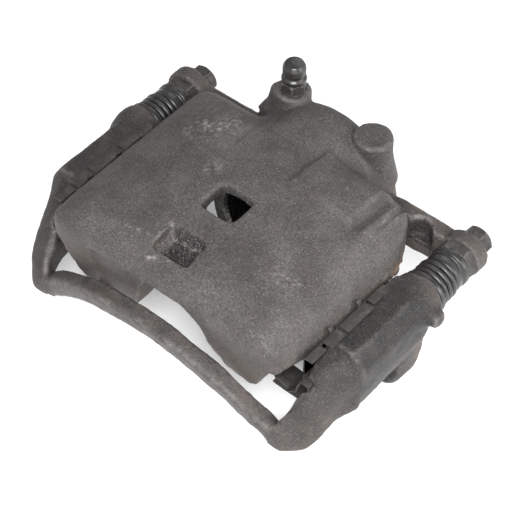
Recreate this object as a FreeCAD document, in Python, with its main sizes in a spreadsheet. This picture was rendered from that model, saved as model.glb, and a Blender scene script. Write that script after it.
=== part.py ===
import FreeCAD, Part
import math
import os
import re

import Sketcher
from FreeCAD import Placement, Rotation, Vector

# Floating single-piston brake caliper on its anchor bracket.
# X runs along the two guide pins' spacing, +Y points inboard to the knuckle, +Z points away from the hub.
# The origin is midway between the two knuckle bolts, on the bracket's mounting face.

# Sizes in millimetres that a designer sets by themselves.
SIZES = {
    # guide pins and the bosses that hold them
    "pin_spacing": 150, "pin_height": 38, "pin_radius": 4.75, "pin_tip": -44, "run_clearance": 0.05,
    "pin_end_room": 2, "flange_start": 21, "flange_length": 5, "flange_wall": 4.85, "thread_radius": 3.4,
    "ear_length": 7.5, "ear_wall": 6.3, "head_length": 6, "head_wall": 3.6, "washer_wall": 4.6,
    "washer_thick": 1.2, "thread_length": 12, "bushing_length": 12, "bushing_wall": 1.2, "bushing_place": 3,
    # anchor bracket
    "bolt_spacing": 130, "bolt_hole_radius": 5.4, "lug_wall": 6.6, "lug_depth": 14, "collar_wall": 6.2,
    "collar_length": 5, "rail_length": 50, "rail_inset": 10, "rail_rise": 10, "rail_drop": 22.5,
    "leg_outset": 8.5, "leg_chamfer": 5, "arm_bevel": 6, "slot_depth": 4, "slot_tall": 11.8,
    "slot_high_room": 12, "slot_reach": 16, "peg_radius": 3.2, "peg_length": 6, "peg_place": -6.5,
    "bar_rise": 15, "bar_thick": 5, "bar_height": 10, "bar_depth": 6.5, "bar_drop": 3.5,
    "bar_out": 7, "bar_tilt": 15, "bar_inset": 3, "disc_radius": 120, "disc_centre": -78, "disc_gap": 2.5,
    "disc_near": -23.5, "disc_thick": 24,
    # caliper housing
    "bridge_gap": 1.5, "bridge_rise": 0.5, "bridge_wall": 11.5, "finger_thick": 17, "finger_face": -62,
    "finger_drop": 14, "finger_gap": 9.5, "gap_web": 14.5, "side_rise": 4.5,
    "cyl_drop": 6, "cyl_wall": 7.4, "cyl_mouth": 0, "cyl_depth": 42, "back_wall": 8,
    "stroke_room": 36, "back_round": 10,
    "window_wide": 17, "window_deep": 16, "window_place": -33.6, "window_round": 3,
    "pocket_wide": 18, "pocket_deep": 13.5, "pocket_side": -1, "pocket_place": -62, "pocket_sink": 7,
    "pocket_slope": 4, "pocket_step": 1.5,
    "arm_rise": 3.5, "arm_drop": 13, "scoop_radius": 6, "scoop_side": 55, "scoop_high": 30,
    "boss_radius": 7.8, "boss_inset": 6, "bleed_side": -22, "blank_side": 21.5, "port_radius": 4.5,
    "port_depth": 8, "drill_radius": 1.5, "port_height": 20, "port_boss": 9, "port_rise": 5,
    # piston, its seal and its dust boot
    "piston_radius": 28.5, "bore_clearance": 0.1, "piston_front": -9.5, "cup_wall": 7, "cup_base": 7,
    "seal_front": 6, "seal_width": 3.5, "seal_depth": 3.2, "seat_wall": 4.6, "seat_depth": 4,
    "lip_place": 3.5, "lip_groove": 2.2, "lip_depth": 1.5, "ring_wire": 1.2, "relief_room": 2.5,
    # bleeder screw and cap
    "bleed_radius": 4.9, "bleed_clearance": 0.1, "bleed_length": 14, "bleed_drill_drop": 4,
    "bleed_flat_wall": 0.9, "bleed_hex_high": 4.5, "nipple_radius": 3.1, "barb_rise": 0.8,
    "nipple_high": 8.5, "cap_wall": 1.1, "cap_high": 10.5,
    # guide boots and pad retainers
    "boot_wall": 3.75, "boot_skin": 1.6, "clip_sheet": 0.8, "clip_width": 4.6, "tongue_reach": 15,
}

# Sizes that follow from those above, so that what fits together stays together.
TIED = {
    "pin_hole_end": "pin_tip - pin_end_room", "flange_radius": "pin_radius + flange_wall",
    "ear_radius": "thread_radius + ear_wall", "head_radius": "thread_radius + head_wall",
    "washer_radius": "thread_radius + washer_wall", "arm_start": "flange_start + flange_length",
    "boot_radius": "pin_radius + boot_wall", "collar_radius": "pin_radius + run_clearance + collar_wall",
    "rail_end": "-rail_length", "rail_inner": "pin_spacing / 2 - rail_inset",
    "rail_top": "pin_height + rail_rise", "rail_bottom": "pin_height - rail_drop",
    "leg_outer": "pin_spacing / 2 + leg_outset", "leg_ridge": "leg_outer - leg_chamfer",
    "slot_high": "rail_top - slot_high_room", "slot_low": "slot_high - slot_tall",
    "pad_slot_end": "rail_end - slot_reach",
    "peg_end": "leg_outer + peg_length", "lug_radius": "bolt_hole_radius + lug_wall",
    "bar_reach": "rail_inner - bar_inset", "bar_over_radius": "bar_reach + bar_rise",
    "bar_under_radius": "bar_over_radius - bar_thick", "bar_apex": "pin_height - bar_drop",
    "bridge_half": "rail_inner - bridge_gap", "bridge_out": "finger_face - finger_thick",
    "bar_face": "bridge_out - bar_out", "cyl_height": "pin_height - cyl_drop",
    "bore_radius": "piston_radius + bore_clearance", "cyl_radius": "bore_radius + cyl_wall",
    "bridge_top": "cyl_height + cyl_radius + bridge_rise", "bridge_in": "arm_start - 2",
    "finger_low": "pin_height - finger_drop", "gap_top": "bridge_top - gap_web",
    "side_low": "pin_height + side_rise", "cyl_back": "cyl_mouth + cyl_depth",
    "bore_end": "cyl_back - back_wall",
    "piston_back": "bore_end - 1", "cup_floor": "piston_back - cup_base",
    "cup_radius": "piston_radius - cup_wall", "relief_radius": "piston_radius + relief_room",
    "seat_radius": "bore_radius + seat_wall",
    "pocket_floor": "bridge_top - pocket_sink", "arm_top": "pin_height + arm_rise",
    "arm_low": "pin_height - arm_drop", "boss_place": "cyl_back - boss_inset", "boss_top": "bridge_top - 1.5",
    "port_boss_end": "cyl_back + port_rise", "bleed_hole": "bleed_radius + bleed_clearance",
    "bleed_tip": "boss_top - bleed_length", "bleed_drill": "bleed_tip - bleed_drill_drop",
    "bleed_hex": "bleed_radius + bleed_flat_wall", "barb_radius": "nipple_radius + barb_rise",
    "cap_radius": "barb_radius + cap_wall",
}

doc = FreeCAD.newDocument("brake_caliper")
sheet = doc.addObject("Spreadsheet::Sheet", "Sizes")
for row, (alias, value) in enumerate([*SIZES.items(), *TIED.items()], start=1):
    sheet.set(f"A{row}", alias)
    sheet.set(f"B{row}", f"={value}" if isinstance(value, str) else str(value))
    sheet.setAlias(f"B{row}", alias)
doc.recompute()

X_AXIS, Y_AXIS, Z_AXIS = Vector(1, 0, 0), Vector(0, 1, 0), Vector(0, 0, 1)
# local sketch axes of the three planes that outlines are drawn on, and the way they are extruded
PLANES = {
    "XY": (Rotation(X_AXIS, Y_AXIS, Z_AXIS, "ZXY"), Z_AXIS, "z"),
    "XZ": (Rotation(X_AXIS, Z_AXIS, -Y_AXIS, "ZXY"), Y_AXIS, "y"),
    "YZ": (Rotation(Y_AXIS, Z_AXIS, X_AXIS, "ZXY"), X_AXIS, "x"),
}


def formula(text):
    """A size formula with each alias pointed at the sheet."""
    def point(word):
        return "Sizes." + word.group() if word.group() in {**SIZES, **TIED} else word.group()
    return re.sub(r"[a-z_]+", point, str(text))


def bind(thing, **formulas):
    for name, text in formulas.items():
        thing.setExpression(name.replace("__", "."), formula(text))


def draw(sketch, corners):
    """A closed outline whose corners are all bound to formulas."""
    count = len(corners)
    turns = [2 * math.pi * k / count for k in range(count)]
    ring = [Vector(math.cos(turn), math.sin(turn), 0) for turn in turns]
    for k in range(count):
        sketch.addGeometry(Part.LineSegment(ring[k], ring[(k + 1) % count]))
    for k in range(count):
        sketch.addConstraint(Sketcher.Constraint("Coincident", k, 2, (k + 1) % count, 1))
    for k, corner in enumerate(corners):
        for kind, text in zip(("DistanceX", "DistanceY"), corner):
            place = sketch.addConstraint(Sketcher.Constraint(kind, -1, 1, k, 1, 1.0))
            sketch.setExpression(f"Constraints[{place}]", formula(text))
    return sketch


def outline(name, plane, corners, place=0):
    """A free-standing sketch in one of the PLANES, moved along the plane's normal to `place`."""
    turn, _, letter = PLANES[plane]
    sketch = doc.addObject("Sketcher::SketchObject", name)
    sketch.Placement = Placement(Vector(), turn)
    sketch.setExpression(f"Placement.Base.{letter}", formula(place))
    return draw(sketch, corners)


def prism(name, plane, corners, start, length):
    solid = doc.addObject("Part::Extrusion", name)
    solid.Base = outline(name + "_outline", plane, corners, start)
    solid.DirMode = "Custom"
    solid.Dir = PLANES[plane][1]
    solid.Solid = True
    bind(solid, LengthFwd=length)
    return solid


def block(name, x, y, z, wide, deep, high):
    box = doc.addObject("Part::Box", name)
    bind(box, Placement__Base__x=x, Placement__Base__y=y, Placement__Base__z=z,
         Length=wide, Width=deep, Height=high)
    return box


def rod(name, axis, x, y, z, radius, length):
    """A cylinder along +Y, +Z or +X from the given point."""
    cylinder = doc.addObject("Part::Cylinder", name)
    cylinder.Placement = Placement(Vector(), Rotation(Z_AXIS, axis))
    bind(cylinder, Placement__Base__x=x, Placement__Base__y=y, Placement__Base__z=z,
         Radius=radius, Height=length)
    return cylinder


def fuse(name, *shapes):
    joined = doc.addObject("Part::MultiFuse", name)
    joined.Shapes = list(shapes)
    joined.Refine = True
    return joined


def common(name, *shapes):
    shared = doc.addObject("Part::MultiCommon", name)
    shared.Shapes = list(shapes)
    return shared


def cut(name, base, *tools):
    result = doc.addObject("Part::Cut", name)
    result.Base = base
    result.Tool = tools[0] if len(tools) == 1 else fuse(name + "_tools", *tools)
    return result


def mirror(name, shape):
    other = doc.addObject("Part::Mirroring", name)
    other.Source = shape
    other.Normal = X_AXIS
    return other


def round_edges(name, base, radius, chosen):
    """Rounds the edges of `base` that `chosen` accepts."""
    doc.recompute()
    edges = [k for k, edge in enumerate(base.Shape.Edges, start=1) if chosen(edge)]
    rounded = doc.addObject("Part::Fillet", name)
    rounded.Base = base
    rounded.Edges = [(k, size(radius), size(radius)) for k in edges]
    return rounded


def size(alias):
    return float(sheet.get(alias))


def turned(name, plane_role, profile, place=(0, 0, 0)):
    """A PartDesign body turned about its plane's vertical axis; profile corners are (radius, along)."""
    body = doc.addObject("PartDesign::Body", name)
    sketch = body.newObject("Sketcher::SketchObject", name + "_profile")
    plane = next(item for item in body.Origin.OriginFeatures if item.Role == plane_role)
    sketch.AttachmentSupport = [(plane, "")]
    sketch.MapMode = "FlatFace"
    draw(sketch, profile)
    turn = body.newObject("PartDesign::Revolution", name + "_turn")
    turn.Profile = sketch
    turn.ReferenceAxis = (sketch, ["V_Axis"])
    turn.Angle = 360
    bind(body, Placement__Base__x=place[0], Placement__Base__y=place[1], Placement__Base__z=place[2])
    return body


def along_z(edge):
    run = edge.Vertexes[-1].Point - edge.Vertexes[0].Point
    return abs(run.z) > 1 and abs(run.x) + abs(run.y) < 0.01


# ---------------------------------------------------------------- anchor bracket
PIN_SIDE = "pin_spacing / 2"
BOLT_SIDE = "bolt_spacing / 2"
SIDES = (("right", ""), ("left", "-"))


def bracket_arm():
    """Ruled block from the rail's outboard end, out and down, to the end of the tie bar."""
    stations = [
        ("rail_end", "rail_inner", "leg_outer - 1", "rail_bottom + 2", "rail_top - 2"),
        ("rail_end - 8", "rail_inner", "leg_outer - 5", "rail_bottom", "rail_top - 7"),
        ("rail_end - 16", "rail_inner + 1", "leg_outer - 6.5", "rail_bottom - 4", "rail_top - 15"),
        ("rail_end - 23", "rail_inner", "leg_outer - 8.5", "rail_bottom - 7.5", "rail_top - 24"),
        ("rail_end - 31", "rail_inner - 5", "leg_outer - 16", "rail_bottom - 8.5", "rail_top - 31"),
    ]
    sections = []
    for k, (place, inner, outer, low, high) in enumerate(stations):
        corners = [(inner, low), (outer, low), (outer, f"{high} - arm_bevel"), (f"{outer} - arm_bevel", high),
                   (inner, high)]
        sections.append(outline(f"arm_section_{k}", "XZ", corners, place))
    arm = doc.addObject("Part::Loft", "bracket_arm")
    arm.Sections = sections
    arm.Solid = True
    arm.Ruled = True
    return arm


def bracket_half():
    leg = prism("bracket_leg", "XZ", [
        ("rail_inner", "rail_bottom"), ("leg_outer - 3.5", "rail_bottom"), ("leg_outer", "rail_bottom + 12"),
        ("leg_outer", "pin_height + 2"), ("leg_ridge", "rail_top"), ("rail_inner", "rail_top"),
    ], "rail_end", "-rail_end - collar_length")
    collar = rod("pin_collar", Y_AXIS, PIN_SIDE, "-collar_length - 1", "pin_height", "collar_radius",
                 "collar_length + 1")
    lug = prism("lug_web", "XZ", [
        (f"{BOLT_SIDE} - lug_radius", 0), (f"{BOLT_SIDE} + lug_radius", 0),
        ("leg_outer - 4.5", "rail_bottom + 2"), ("rail_inner - 4", "rail_bottom + 6"),
    ], "-lug_depth", "lug_depth")
    lug_end = rod("lug_end", Y_AXIS, BOLT_SIDE, "-lug_depth", 0, "lug_radius", "lug_depth")
    return fuse("bracket_half", leg, collar, lug, lug_end, bracket_arm())


def tie_bar():
    """Arched bar outboard of the fingers, leaning so that its ends come nearer than its crown."""
    hoop = rod("bar_over", Y_AXIS, 0, 0, "bar_apex + bar_height - bar_over_radius", "bar_over_radius",
               "bar_depth")
    hollow = rod("bar_under", Y_AXIS, 0, -1, "bar_apex - bar_under_radius", "bar_under_radius",
                 "bar_depth + 2")
    reach = block("bar_reach_box", "-bar_reach", -2, 0, "2 * bar_reach", "bar_depth + 4", "bar_apex + 40")
    bar = common("tie_bar", cut("bar_hoop", hoop, hollow), reach)
    crown = Vector(0, 0, size("bar_apex"))
    tilt = Rotation(X_AXIS, size("bar_tilt"))
    bar.Placement = Placement(Vector(0, size("bar_face"), 0) + crown - tilt.multVec(crown), tilt)
    return bar


def anchor_bracket():
    half = bracket_half()
    peg = rod("peg", X_AXIS, "leg_outer - 3", "peg_place", "pin_height", "peg_radius",
              "peg_end - leg_outer + 3")
    whole = fuse("bracket_blank", half, mirror("bracket_half_left", half), tie_bar(), peg)
    tools = [rod("disc_clearance", Y_AXIS, 0, "disc_near - disc_thick - disc_gap", "disc_centre",
                 "disc_radius + disc_gap", "disc_thick + 2 * disc_gap")]
    for side, sign in SIDES:
        tools.append(rod(f"pin_hole_{side}", Y_AXIS, f"{sign}({PIN_SIDE})", "pin_hole_end", "pin_height",
                         "pin_radius + run_clearance", "1 - pin_hole_end"))
        tools.append(rod(f"bolt_hole_{side}", Y_AXIS, f"{sign}({BOLT_SIDE})", "-lug_depth - 1", 0,
                         "bolt_hole_radius", "lug_depth + 2"))
    slot = block("pad_slot", "rail_inner - 20", "pad_slot_end", "slot_low", "20 + slot_depth",
                 "-pad_slot_end + 1", "slot_high - slot_low")
    tools += [slot, mirror("pad_slot_left", slot)]
    return cut("anchor_bracket", whole, *tools)


# ---------------------------------------------------------------- caliper housing
def bridge():
    """Arched bridge with its two outboard fingers, bounded in plan, from the side and from the front."""
    plan = [
        (0, "bridge_out"), ("bridge_half - 12", "bridge_out"), ("bridge_half - 5", "bridge_out + 3"),
        ("bridge_half - 1.5", "bridge_out + 17"), ("bridge_half", "bridge_out + 29"),
        ("bridge_half", "bridge_in - 44"), ("bridge_half - 1.5", "bridge_in - 24"),
        ("bridge_half - 7.5", "bridge_in - 10"), ("bridge_half - 17", "bridge_in - 2"), (0, "bridge_in"),
        ("12 - bridge_half", "bridge_in"), ("2.5 - bridge_half", "bridge_in"),
        ("1 - bridge_half", "bridge_in - 14"),
        ("-bridge_half", "bridge_in - 44"), ("-bridge_half", "bridge_out + 29"),
        ("1.5 - bridge_half", "bridge_out + 17"), ("5 - bridge_half", "bridge_out + 3"),
        ("12 - bridge_half", "bridge_out"),
    ]
    side = [
        ("bridge_out + 6.5", 0), ("bridge_out + 6.5", "finger_low"), ("bridge_out + 2", "gap_top - 6"),
        ("bridge_out", "gap_top + 4"), ("bridge_out + 1", "bridge_top - 12"),
        ("bridge_out + 6", "bridge_top - 5"),
        ("bridge_out + 16", "bridge_top - 1"), ("bridge_out + 30", "bridge_top"),
        ("bridge_in - 20", "bridge_top"),
        ("bridge_in - 8", "bridge_top - 5"), ("bridge_in", "bridge_top - 16"), ("bridge_in", 0),
    ]
    front = [
        ("bridge_half", "side_low"), ("bridge_half", "bridge_top - 21"),
        ("bridge_half - 4", "bridge_top - 12"),
        ("bridge_half - 13", "bridge_top - 5.5"), ("bridge_half - 33", "bridge_top - 1"), (0, "bridge_top"),
        ("33 - bridge_half", "bridge_top - 1"), ("13 - bridge_half", "bridge_top - 5.5"),
        ("4 - bridge_half", "bridge_top - 12"), ("-bridge_half", "bridge_top - 21"),
        ("-bridge_half", "side_low"),
        ("6 - bridge_half", "side_low"), ("11 - bridge_half", "side_low + 8"),
        ("20 - bridge_half", "bridge_top - bridge_wall - 2"), (0, "bridge_top - bridge_wall"),
        ("bridge_half - 20", "bridge_top - bridge_wall - 2"), ("bridge_half - 11", "side_low + 8"),
        ("bridge_half - 6", "side_low"),
    ]
    length = "bridge_in - bridge_out"
    arch = prism("bridge_arch", "XZ", front, "bridge_out", length)
    fingers = prism("fingers", "XZ", finger_outline(), "bridge_out", "finger_face - bridge_out")
    bounds = (prism("bridge_plan", "XY", plan, 0, "bridge_top + 10"),
              prism("bridge_side", "YZ", side, "-bridge_half - 5", "2 * bridge_half + 10"))
    return common("bridge", fuse("bridge_rough", arch, fingers), *bounds)


def finger_outline():
    """Both fingers and the web above their gap, seen from outboard."""
    outer = [
        ("finger_gap + 35", "finger_low"), ("finger_gap + 39", "finger_low + 4"),
        ("finger_gap + 43", "finger_low + 12"), ("bridge_half - 5", "side_low + 5"),
        ("bridge_half - 5", "bridge_top - 13"),
    ]
    right = [
        ("finger_gap - 3", "gap_top"), ("finger_gap + 3", "gap_top - 2"), ("finger_gap + 9", "gap_top - 8"),
        ("finger_gap + 16", "finger_low + 10"), ("finger_gap + 24", "finger_low + 2"),
    ] + outer
    left = [(f"-({along})", high) for along, high in reversed(outer)] + [
        ("-finger_gap - 13.5", "finger_low + 1"), ("-finger_gap - 5.5", "finger_low + 5"),
        ("-finger_gap - 1", "gap_top - 8"), ("4 - finger_gap", "gap_top"),
    ]
    return right + left


def ears():
    """Two arms from the cylinder's sides out to the ears that the pin bolts clamp."""
    arm = prism("ear_arm", "XZ", [
        (0, "arm_low + 2"), ("cyl_radius - 6", "arm_low - 1"), (PIN_SIDE, "pin_height - ear_radius"),
        (PIN_SIDE, "arm_top + 1"), (0, "arm_top + 3"),
    ], "arm_start", "ear_length")
    ear = rod("ear", Y_AXIS, PIN_SIDE, "arm_start", "pin_height", "ear_radius", "ear_length")
    half = fuse("ear_half", arm, ear)
    return half, mirror("ear_half_left", half)


def caliper_housing():
    barrel = rod("barrel", Y_AXIS, 0, "cyl_mouth", "cyl_height", "cyl_radius", "cyl_back - cyl_mouth")
    barrel = round_edges("barrel_round", barrel, "back_round",
                         lambda edge: edge.Closed and edge.CenterOfMass.y > size("bore_end"))
    bleed_boss = rod("bleed_boss", Z_AXIS, "bleed_side", "boss_place", "cyl_height", "boss_radius",
                     "boss_top - cyl_height")
    blank_boss = rod("blank_boss", Z_AXIS, "blank_side", "boss_place", "cyl_height", "boss_radius",
                     "boss_top - cyl_height")
    port_boss = rod("port_boss", Y_AXIS, 0, "bore_end", "port_height", "port_boss",
                    "port_boss_end - bore_end")
    rib = prism("bleed_boss_rib", "XZ", [
        ("bleed_side", "cyl_height"), ("bleed_side - boss_radius - 9", "bridge_top - 20"),
        ("bleed_side - boss_radius", "boss_top - 3"), ("bleed_side", "boss_top - 3"),
    ], "boss_place - boss_radius / 2", "boss_radius")
    blank = fuse("housing_blank", bridge(), barrel, bleed_boss, rib, blank_boss, port_boss, *ears())
    window = block("window_block", "-window_wide / 2", "window_place - window_deep / 2", "cyl_height",
                   "window_wide", "window_deep", "cyl_radius + 20")
    window = round_edges("window_cut", window, "window_round", along_z)
    pocket_edge = "pocket_place + pocket_deep / 2"
    pocket = prism("pocket_cut", "YZ", [
        ("pocket_place - pocket_deep / 2", "bridge_top + 5"),
        ("pocket_place - pocket_deep / 2", "pocket_floor"),
        (f"{pocket_edge} - pocket_slope", "pocket_floor"),
        (f"{pocket_edge} - pocket_slope", "pocket_floor + pocket_step"),
        (pocket_edge, "pocket_floor + pocket_step + pocket_slope"), (pocket_edge, "bridge_top + 5"),
    ], "pocket_side - pocket_wide / 2", "pocket_wide")
    bore = rod("piston_bore", Y_AXIS, 0, "cyl_mouth - 1", "cyl_height", "bore_radius",
               "bore_end - cyl_mouth + 1")
    relief = rod("stroke_relief", Y_AXIS, 0, "cyl_mouth - stroke_room", "cyl_height", "relief_radius",
                 "stroke_room")
    seat = rod("boot_seat", Y_AXIS, 0, "cyl_mouth - 1", "cyl_height", "seat_radius", "seat_depth + 1")
    groove = rod("seal_groove", Y_AXIS, 0, "seal_front", "cyl_height", "bore_radius + seal_depth",
                 "seal_width")
    bleed_hole = rod("bleed_hole", Z_AXIS, "bleed_side", "boss_place", "bleed_tip", "bleed_hole",
                     "boss_top - bleed_tip + 1")
    port = rod("hose_port", Y_AXIS, 0, "port_boss_end - port_depth", "port_height", "port_radius",
               "port_depth + 1")
    passage = rod("fluid_passage", Y_AXIS, 0, "bore_end - 1", "port_height", "drill_radius",
                  "port_boss_end - bore_end")
    bleed_passage = rod("bleed_passage", Z_AXIS, "bleed_side", "boss_place", "bleed_drill", "drill_radius",
                        "bleed_tip - bleed_drill + 1")
    bleed_crossing = rod("bleed_crossing", Y_AXIS, "bleed_side", "bore_end - 1", "bleed_drill",
                         "drill_radius", "boss_place - bore_end + 1")
    ear_holes = []
    for side, sign in SIDES:
        ear_holes.append(rod(f"ear_hole_{side}", Y_AXIS, f"{sign}({PIN_SIDE})", "arm_start - 1", "pin_height",
                             "thread_radius + run_clearance", "ear_length + 2"))
    scoop = rod("arm_scoop", Z_AXIS, "scoop_side", "arm_start - 2", "pin_height - 4", "scoop_radius",
                "scoop_high")
    return cut("caliper_housing", blank, window, pocket, bore, relief, seat, groove, bleed_hole, port,
               passage, bleed_passage, bleed_crossing, scoop, *ear_holes)


# ---------------------------------------------------------------- turned pieces
def hexagon(name, axis, x, y, z, radius, length):
    """A hexagonal prism; radius is to the corners."""
    prism_ = doc.addObject("Part::Prism", name)
    prism_.Polygon = 6
    prism_.Placement = Placement(Vector(), Rotation(Z_AXIS, axis))
    bind(prism_, Placement__Base__x=x, Placement__Base__y=y, Placement__Base__z=z,
         Circumradius=radius, Height=length)
    return prism_


def guide_pin(side, x):
    shank = rod(f"pin_shank_{side}", Y_AXIS, x, "pin_tip", "pin_height", "pin_radius",
                "flange_start - pin_tip + 1")
    flange = hexagon(f"pin_flange_{side}", Y_AXIS, x, "flange_start", "pin_height", "flange_radius",
                     "flange_length")
    thread = rod(f"pin_thread_{side}", Y_AXIS, x, "flange_start - thread_length - 2", "pin_height",
                 "thread_radius + run_clearance", "flange_length + thread_length + 3")
    tools = [thread]
    if side == "right":
        outside = rod("bushing_outside", Y_AXIS, x, "pin_tip + bushing_place", "pin_height",
                      "pin_radius + 1", "bushing_length")
        inside = rod("bushing_inside", Y_AXIS, x, "pin_tip + bushing_place - 1", "pin_height",
                     "pin_radius - bushing_wall", "bushing_length + 2")
        tools.append(cut("bushing_groove", outside, inside))
    return cut(f"guide_pin_{side}", fuse(f"pin_blank_{side}", shank, flange), *tools)


def guide_bolt(side, x):
    shank = rod(f"bolt_shank_{side}", Y_AXIS, x, "flange_start - thread_length", "pin_height",
                "thread_radius", "flange_length + thread_length + ear_length + 1")
    seat = "flange_start + flange_length + ear_length"
    washer = rod(f"bolt_washer_{side}", Y_AXIS, x, seat, "pin_height", "washer_radius", "washer_thick")
    head = hexagon(f"bolt_head_{side}", Y_AXIS, x, seat, "pin_height", "head_radius", "head_length")
    return fuse(f"guide_bolt_{side}", shank, washer, head)


def guide_boot(side, x):
    """Ribbed rubber sleeve from the bracket's collar to the pin's flange."""
    inner = "pin_radius + 0.6"
    profile = [
        (inner, 0), ("boot_radius + 1", 0), ("boot_radius + 1", 3), ("boot_radius - 1", 3.4),
        ("boot_radius - 1", 4.6), ("boot_radius + 0.6", 5.6), ("boot_radius - 1", 6.8),
        ("boot_radius + 0.4", 8.2), ("boot_radius - 1", 9.6), ("boot_radius + 0.2", 11),
        ("boot_radius - 0.4", 12.4),
        ("boot_radius - 0.4", "flange_start - 3"), ("boot_radius + 0.5", "flange_start - 2.6"),
        ("boot_radius + 0.5", "flange_start"), (inner, "flange_start"),
        (inner, "flange_start - 3"), ("boot_radius - boot_skin - 0.8", "flange_start - 4"),
        ("boot_radius - boot_skin - 0.8", 3), (inner, 2),
    ]
    return turned(f"guide_boot_{side}", "XY_Plane", profile, (x, 0, "pin_height"))


def pin_bushing(x):
    start = "pin_tip + bushing_place"
    inside = "pin_radius - bushing_wall"
    outside = "pin_radius + 0.02"
    profile = [
        (inside, start), (outside, start), (outside, f"{start} + bushing_length"),
        (inside, f"{start} + bushing_length"),
    ]
    return turned("pin_bushing", "XY_Plane", profile, (x, 0, "pin_height"))


def piston():
    profile = [
        (0, "cup_floor"), ("cup_radius", "cup_floor"), ("cup_radius", "piston_front"),
        ("piston_radius - 0.8", "piston_front"), ("piston_radius", "piston_front + 0.8"),
        ("piston_radius", "piston_front + lip_place"),
        ("piston_radius - lip_depth", "piston_front + lip_place"),
        ("piston_radius - lip_depth", "piston_front + lip_place + lip_groove"),
        ("piston_radius", "piston_front + lip_place + lip_groove"),
        ("piston_radius", "piston_back - 2"), ("piston_radius - 2", "piston_back"), (0, "piston_back"),
    ]
    return turned("piston", "XY_Plane", profile, (0, 0, "cyl_height"))


def piston_seal():
    profile = [
        ("piston_radius + run_clearance", "seal_front"), ("bore_radius + seal_depth", "seal_front"),
        ("bore_radius + seal_depth", "seal_front + seal_width"),
        ("piston_radius + run_clearance", "seal_front + seal_width"),
    ]
    return turned("piston_seal", "XY_Plane", profile, (0, 0, "cyl_height"))


def piston_boot():
    """Folded rubber boot from the counterbore at the cylinder's mouth to the groove in the piston."""
    back = "cyl_mouth + seat_depth"
    lip = "piston_front + lip_place"
    inner = "piston_radius + 0.3"
    rim = "seat_radius - run_clearance"
    profile = [
        (rim, f"{back}"), (rim, f"{back} - 1"), ("bore_radius + 2", f"{back} - 1"),
        ("bore_radius + 2", "cyl_mouth - 0.5"), ("bore_radius + 1.2", "cyl_mouth - 1.4"),
        ("bore_radius + 2", "cyl_mouth - 2.3"), ("bore_radius + 1.2", "cyl_mouth - 3.2"),
        ("bore_radius + 1.8", f"{lip} + lip_groove - 0.3"), ("bore_radius + 1", f"{lip} + 0.3"),
        (f"{inner} - lip_depth", f"{lip} + 0.3"), (f"{inner} - lip_depth", f"{lip} + lip_groove - 0.3"),
        (inner, f"{lip} + lip_groove - 0.3"), (inner, "cyl_mouth - 0.5"), ("bore_radius + 0.8", "cyl_mouth"),
        ("bore_radius + 0.8", f"{back}"),
    ]
    return turned("piston_boot", "XY_Plane", profile, (0, 0, "cyl_height"))


def boot_ring():
    back = "cyl_mouth + seat_depth - 1"
    rim = "seat_radius - run_clearance"
    profile = [
        (f"{rim} - ring_wire", f"{back} - 1.6"), (rim, f"{back} - 1.6"), (rim, back),
        (f"{rim} - ring_wire", back),
    ]
    return turned("boot_retaining_ring", "XY_Plane", profile, (0, 0, "cyl_height"))


def bleeder_screw():
    top = "boss_top"
    turned_part = turned("bleeder_turned", "XZ_Plane", [
        (0, "bleed_tip"), (1.6, "bleed_tip"), ("bleed_radius - 1", "bleed_tip + 4"),
        ("bleed_radius", "bleed_tip + 5"),
        ("bleed_radius", f"{top} + 0.6"), ("nipple_radius", f"{top} + 0.6 + bleed_hex_high"),
        ("nipple_radius", f"{top} + bleed_hex_high + 3"), ("barb_radius", f"{top} + bleed_hex_high + 5"),
        ("nipple_radius", f"{top} + bleed_hex_high + nipple_high"),
        (0, f"{top} + bleed_hex_high + nipple_high"),
    ], ("bleed_side", "boss_place", 0))
    hexed = hexagon("bleeder_hex", Z_AXIS, "bleed_side", "boss_place", f"{top} + 0.5", "bleed_hex",
                    "bleed_hex_high")
    return fuse("bleeder_screw", turned_part, hexed)


def bleeder_cap():
    top = "boss_top + bleed_hex_high"
    inner = "barb_radius + 0.3"
    return turned("bleeder_cap", "XZ_Plane", [
        (inner, f"{top} + 1.5"), ("cap_radius", f"{top} + 1.5"), ("cap_radius", f"{top} + 3"),
        ("cap_radius - 0.6", f"{top} + 4"), ("cap_radius", f"{top} + 5"),
        ("cap_radius", f"{top} + cap_high - 1.5"),
        ("cap_radius - 1.5", f"{top} + cap_high"), (0, f"{top} + cap_high"),
        (0, f"{top} + nipple_high + 0.3"),
        (inner, f"{top} + nipple_high + 0.3"),
    ], ("bleed_side", "boss_place", 0))


def pad_retainer():
    """Bent sheet that lines the bracket's pad slot; modelled on the right and mirrored to the left."""
    inner = "rail_inner - clip_sheet"
    deep = "rail_inner + slot_depth"
    strip = prism("retainer_strip", "XZ", [
        (inner, "slot_high"), ("rail_inner", "slot_high"), ("rail_inner", "rail_top"),
        (f"{inner} + clip_width", "rail_top"), (f"{inner} + clip_width", "rail_top + clip_sheet"),
        (inner, "rail_top + clip_sheet"),
    ], "rail_end - 14", "-rail_end")
    channels = []
    for place, start in (("outer", "rail_end - 16"), ("inner", "disc_near + disc_gap")):
        channels.append(prism(f"retainer_channel_{place}", "XZ", [
            (inner, "slot_high - clip_sheet"), (f"{deep} - clip_sheet", "slot_high - clip_sheet"),
            (f"{deep} - clip_sheet", "slot_low + clip_sheet"),
            ("rail_inner - tongue_reach", "slot_low + clip_sheet"),
            ("rail_inner - tongue_reach", "slot_low"), (deep, "slot_low"), (deep, "slot_high"),
            (inner, "slot_high"),
        ], start, 12))
    right = fuse("pad_retainer_right", strip, *channels)
    return right, mirror("pad_retainer_left", right)


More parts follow.
